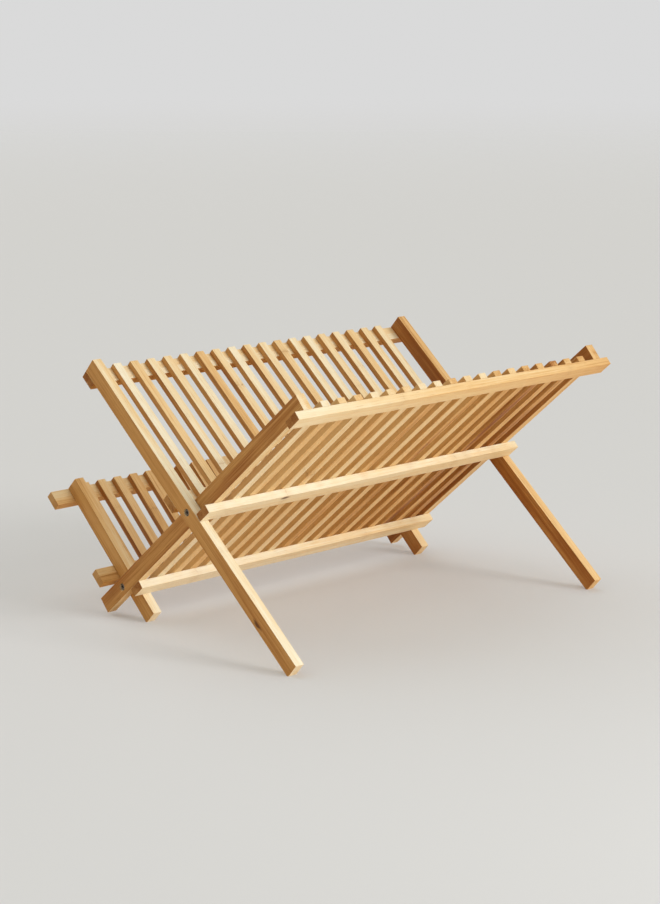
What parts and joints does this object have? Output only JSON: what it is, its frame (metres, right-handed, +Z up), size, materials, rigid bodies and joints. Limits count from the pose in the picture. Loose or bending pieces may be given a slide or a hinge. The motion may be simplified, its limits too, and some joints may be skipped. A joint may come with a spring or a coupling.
{
  "type": "folding dish drying rack",
  "caption": "Two-tier folding rack of slatted wooden panels that cross at two pivots; plates stand between the slats and it folds flat.",
  "frame": {"origin": "on the worktop, under the middle of the rack's outline when it stands open", "axes": "+X along the cross rails to the rack's right seen from the front, +Y to the back, +Z up"},
  "size_m": [0.42, 0.3514, 0.247],
  "materials": {
    "bamboo_rail": "oiled bamboo, satin",
    "bamboo_cross": "oiled bamboo, satin",
    "bamboo_slat": "oiled bamboo, satin",
    "steel": "zinc-plated steel, dull"
  },
  "bodies": {
    "front_panel": {"front_cross_bottom": "bamboo_cross", "front_cross_middle": "bamboo_cross", "front_cross_top": "bamboo_cross", "front_rail_left": "bamboo_rail", "front_rail_right": "bamboo_rail", "front_slat_01": "bamboo_slat", "front_slat_02": "bamboo_slat", "front_slat_03": "bamboo_slat", "front_slat_04": "bamboo_slat", "front_slat_05": "bamboo_slat", "front_slat_06": "bamboo_slat", "front_slat_07": "bamboo_slat", "front_slat_08": "bamboo_slat", "front_slat_09": "bamboo_slat", "front_slat_10": "bamboo_slat", "front_slat_11": "bamboo_slat", "front_slat_12": "bamboo_slat", "front_slat_13": "bamboo_slat", "front_slat_14": "bamboo_slat", "front_slat_15": "bamboo_slat", "front_slat_16": "bamboo_slat", "front_slat_17": "bamboo_slat", "front_slat_18": "bamboo_slat", "lower_pivot_bolt_left": "steel", "lower_pivot_bolt_right": "steel", "lower_pivot_sleeve_left": "steel", "lower_pivot_sleeve_right": "steel", "upper_pivot_bolt_left": "steel", "upper_pivot_bolt_right": "steel", "upper_pivot_sleeve_left": "steel", "upper_pivot_sleeve_right": "steel"},
    "back_panel": {"back_cross_bottom": "bamboo_cross", "back_cross_top": "bamboo_cross", "back_rail_left": "bamboo_rail", "back_rail_right": "bamboo_rail", "back_slat_01": "bamboo_slat", "back_slat_02": "bamboo_slat", "back_slat_03": "bamboo_slat", "back_slat_04": "bamboo_slat", "back_slat_05": "bamboo_slat", "back_slat_06": "bamboo_slat", "back_slat_07": "bamboo_slat", "back_slat_08": "bamboo_slat", "back_slat_09": "bamboo_slat", "back_slat_10": "bamboo_slat", "back_slat_11": "bamboo_slat", "back_slat_12": "bamboo_slat", "back_slat_13": "bamboo_slat", "back_slat_14": "bamboo_slat", "back_slat_15": "bamboo_slat", "back_slat_16": "bamboo_slat", "back_slat_17": "bamboo_slat", "back_slat_18": "bamboo_slat"},
    "lower_panel": {"lower_rail_left": "bamboo_rail", "lower_rail_right": "bamboo_rail", "lower_slat_grid": "bamboo_slat"}
  },
  "joints": [
    {"name": "back_panel_fold", "type": "hinge", "parent": "front_panel", "child": "back_panel", "pos_m": [0, -0.0292, 0.12338], "axis": [1, 0, 0], "range_deg": [0, 98.4]},
    {"name": "lower_panel_fold", "type": "hinge", "parent": "front_panel", "child": "lower_panel", "pos_m": [0, 0.07716, 0.03174], "axis": [1, 0, 0], "range_deg": [0, 95.25]}
  ]
}
